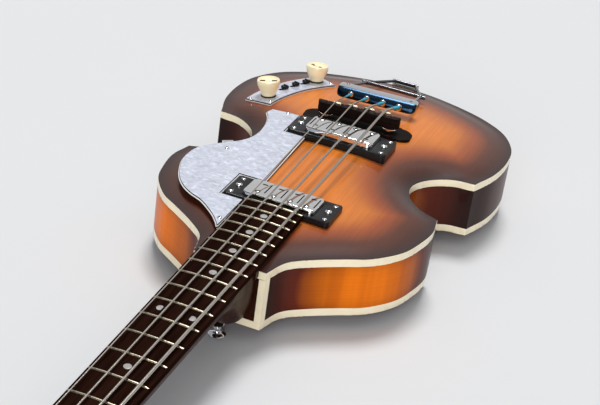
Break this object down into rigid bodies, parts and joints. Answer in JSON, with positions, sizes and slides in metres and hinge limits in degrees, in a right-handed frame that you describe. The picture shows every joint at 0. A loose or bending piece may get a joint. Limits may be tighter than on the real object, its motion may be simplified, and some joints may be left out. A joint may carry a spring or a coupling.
{
  "type": "electric bass guitar",
  "caption": "Violin-shaped hollow-body electric bass guitar with arched top, floating bridge, trapeze tailpiece, two pickups, pearl controls and pickguard.",
  "frame": {"origin": "centre of the bounding box's bottom: on the ground, with the instrument lying on its back", "axes": "+Y from the tail to the headstock, +X to the treble side, +Z out of the top"},
  "size_m": [0.2866, 1.0795, 0.0988],
  "materials": {
    "sunburst_top": "gloss lacquer, amber centre shading to a dark edge",
    "sunburst_rib": "gloss lacquer over figured maple, orange shading to dark brown",
    "cream_binding": "aged cream celluloid",
    "raw_spruce": "bare wood",
    "dark_neck": "gloss lacquer, very dark brown",
    "rosewood": "oiled, with nickel-silver frets and pearl dots",
    "ebony": "satin",
    "bone": "polished bone",
    "steel": "plain",
    "chrome": "polished",
    "nickel": "satin nickel",
    "pearl": "white pearl, layered with a black core line",
    "black_plastic": "polished black",
    "cream_knob": "moulded cream plastic",
    "string_steel": "flat-wound steel"
  },
  "bodies": {
    "instrument": {"top_plate": "sunburst_top", "back_plate": "sunburst_rib", "rib_treble_side": "sunburst_rib", "rib_bass_side": "sunburst_rib", "top_binding": "cream_binding", "back_binding": "cream_binding", "neck_block": "raw_spruce", "tail_block": "raw_spruce", "brace_treble": "raw_spruce", "brace_bass": "raw_spruce", "fretboard": "rosewood", "neck": "dark_neck", "nut": "bone", "truss_rod": "steel", "truss_rod_cover": "black_plastic", "bridge_base": "ebony", "tailpiece": "chrome", "tailpiece_hinge_bracket": "chrome", "neck_pickup_ring": "black_plastic", "bridge_pickup_ring": "black_plastic", "pickguard": "pearl", "pickguard_bracket": "nickel", "control_plate": "pearl", "volume_pot_bass": "steel", "volume_pot_treble": "steel", "output_jack": "chrome", "strap_button_tail": "chrome", "strap_button_heel": "chrome", "tuner_plate_e": "nickel", "string_e": "string_steel", "tuner_plate_a": "nickel", "string_a": "string_steel", "tuner_plate_d": "nickel", "string_d": "string_steel", "tuner_plate_g": "nickel", "string_g": "string_steel"},
    "key_e": {"tuner_key_e": "nickel"},
    "post_e": {"tuner_post_e": "nickel"},
    "key_a": {"tuner_key_a": "nickel"},
    "post_a": {"tuner_post_a": "nickel"},
    "key_d": {"tuner_key_d": "nickel"},
    "post_d": {"tuner_post_d": "nickel"},
    "key_g": {"tuner_key_g": "nickel"},
    "post_g": {"tuner_post_g": "nickel"},
    "volume_bass": {"volume_knob_bass": "cream_knob"},
    "volume_treble": {"volume_knob_treble": "cream_knob"},
    "switch_rhythm": {"switch_lever_rhythm": "black_plastic"},
    "switch_bass": {"switch_lever_bass": "black_plastic"},
    "switch_treble": {"switch_lever_treble": "black_plastic"},
    "saddle_carrier": {"bridge_saddle_carrier": "ebony"},
    "thumbscrew_bass": {"bridge_thumbscrew_bass": "nickel"},
    "thumbscrew_treble": {"bridge_thumbscrew_treble": "nickel"},
    "neck_pickup": {"neck_pickup_cover": "chrome"},
    "neck_screw_bass": {"neck_pickup_screw_bass": "nickel"},
    "neck_screw_treble": {"neck_pickup_screw_treble": "nickel"},
    "bridge_pickup": {"bridge_pickup_cover": "chrome"},
    "bridge_screw_bass": {"bridge_pickup_screw_bass": "nickel"},
    "bridge_screw_treble": {"bridge_pickup_screw_treble": "nickel"},
    "truss_nut": {"truss_rod_nut": "steel"}
  },
  "joints": [
    {"name": "key_e_spin", "type": "hinge", "parent": "instrument", "child": "key_e", "pos_m": [-0.02265, 0.39851, 0.01633], "axis": [1, 0, 0], "continuous": true},
    {"name": "post_e_spin", "type": "hinge", "parent": "instrument", "child": "post_e", "pos_m": [-0.02265, 0.41022, 0.03297], "axis": [0, 0.1494, 0.9888], "continuous": true},
    {"name": "key_a_spin", "type": "hinge", "parent": "instrument", "child": "key_a", "pos_m": [-0.02265, 0.45783, 0.00737], "axis": [1, 0, 0], "continuous": true},
    {"name": "post_a_spin", "type": "hinge", "parent": "instrument", "child": "post_a", "pos_m": [-0.02265, 0.46955, 0.02401], "axis": [0, 0.1494, 0.9888], "continuous": true},
    {"name": "key_d_spin", "type": "hinge", "parent": "instrument", "child": "key_d", "pos_m": [0.01935, 0.45783, 0.00737], "axis": [1, 0, 0], "continuous": true},
    {"name": "post_d_spin", "type": "hinge", "parent": "instrument", "child": "post_d", "pos_m": [0.01935, 0.46955, 0.02401], "axis": [0, 0.1494, 0.9888], "continuous": true},
    {"name": "key_g_spin", "type": "hinge", "parent": "instrument", "child": "key_g", "pos_m": [0.01935, 0.39851, 0.01633], "axis": [1, 0, 0], "continuous": true},
    {"name": "post_g_spin", "type": "hinge", "parent": "instrument", "child": "post_g", "pos_m": [0.01935, 0.41022, 0.03297], "axis": [0, 0.1494, 0.9888], "continuous": true},
    {"name": "volume_bass_turn", "type": "hinge", "parent": "instrument", "child": "volume_bass", "pos_m": [0.09785, -0.3964, 0.07152], "axis": [0.1195, -0.0021, 0.9928], "range_deg": [-150, 150]},
    {"name": "volume_treble_turn", "type": "hinge", "parent": "instrument", "child": "volume_treble", "pos_m": [0.07355, -0.4624, 0.07106], "axis": [0.0664, -0.0765, 0.9949], "range_deg": [-150, 150]},
    {"name": "switch_rhythm_slide", "type": "slide", "parent": "instrument", "child": "switch_rhythm", "axis": [0.5498, 0.8348, -0.0292], "range_m": [0, 0.0045]},
    {"name": "switch_bass_slide", "type": "slide", "parent": "instrument", "child": "switch_bass", "axis": [0.552, 0.8339, -0.0051], "range_m": [0, 0.0045]},
    {"name": "switch_treble_slide", "type": "slide", "parent": "instrument", "child": "switch_treble", "axis": [0.5528, 0.8333, 0.0061], "range_m": [0, 0.0045]},
    {"name": "bridge_height", "type": "slide", "parent": "instrument", "child": "saddle_carrier", "axis": [0, 0, 1], "range_m": [-0.001, 0]},
    {"name": "thumbscrew_bass_spin", "type": "hinge", "parent": "saddle_carrier", "child": "thumbscrew_bass", "pos_m": [-0.03253, -0.3826, 0.0654], "axis": [0, 0, 1], "range_deg": [-514, 0]},
    {"name": "thumbscrew_treble_spin", "type": "hinge", "parent": "saddle_carrier", "child": "thumbscrew_treble", "pos_m": [0.02923, -0.3772, 0.0654], "axis": [0, 0, 1], "range_deg": [-514, 0]},
    {"name": "neck_pickup_height", "type": "slide", "parent": "instrument", "child": "neck_pickup", "axis": [0, 0, 1], "range_m": [-0.002, 0.0015]},
    {"name": "neck_screw_bass_spin", "type": "hinge", "parent": "instrument", "child": "neck_screw_bass", "pos_m": [-0.04315, -0.1987, 0.0654], "axis": [0, 0, 1], "range_deg": [-1080.1, 1440.1]},
    {"name": "neck_screw_treble_spin", "type": "hinge", "parent": "instrument", "child": "neck_screw_treble", "pos_m": [0.03985, -0.1987, 0.0654], "axis": [0, 0, 1], "range_deg": [-1080.1, 1440.1]},
    {"name": "bridge_pickup_height", "type": "slide", "parent": "instrument", "child": "bridge_pickup", "axis": [0, 0, 1], "range_m": [-0.002, 0.0015]},
    {"name": "bridge_screw_bass_spin", "type": "hinge", "parent": "instrument", "child": "bridge_screw_bass", "pos_m": [-0.04315, -0.3373, 0.0654], "axis": [0, 0, 1], "range_deg": [-1080.1, 1440.1]},
    {"name": "bridge_screw_treble_spin", "type": "hinge", "parent": "instrument", "child": "bridge_screw_treble", "pos_m": [0.03985, -0.3373, 0.0654], "axis": [0, 0, 1], "range_deg": [-1080.1, 1440.1]},
    {"name": "truss_nut_turn", "type": "hinge", "parent": "instrument", "child": "truss_nut", "pos_m": [-0.00165, 0.37667, 0.03273], "axis": [0, 0.998, -0.0631], "range_deg": [-180, 180]}
  ],
  "couplings": [
    {"joint": "post_e_spin", "follows": "key_e_spin", "ratio": 0.05},
    {"joint": "post_a_spin", "follows": "key_a_spin", "ratio": 0.05},
    {"joint": "post_d_spin", "follows": "key_d_spin", "ratio": 0.05},
    {"joint": "post_g_spin", "follows": "key_g_spin", "ratio": 0.05},
    {"joint": "bridge_height", "follows": "thumbscrew_bass_spin", "m_per_rad": 0.00011141},
    {"joint": "thumbscrew_treble_spin", "follows": "thumbscrew_bass_spin", "ratio": 1},
    {"joint": "neck_screw_bass_spin", "follows": "neck_pickup_height", "rad_per_m": -12566},
    {"joint": "neck_screw_treble_spin", "follows": "neck_pickup_height", "rad_per_m": -12566},
    {"joint": "bridge_screw_bass_spin", "follows": "bridge_pickup_height", "rad_per_m": -12566},
    {"joint": "bridge_screw_treble_spin", "follows": "bridge_pickup_height", "rad_per_m": -12566}
  ]
}
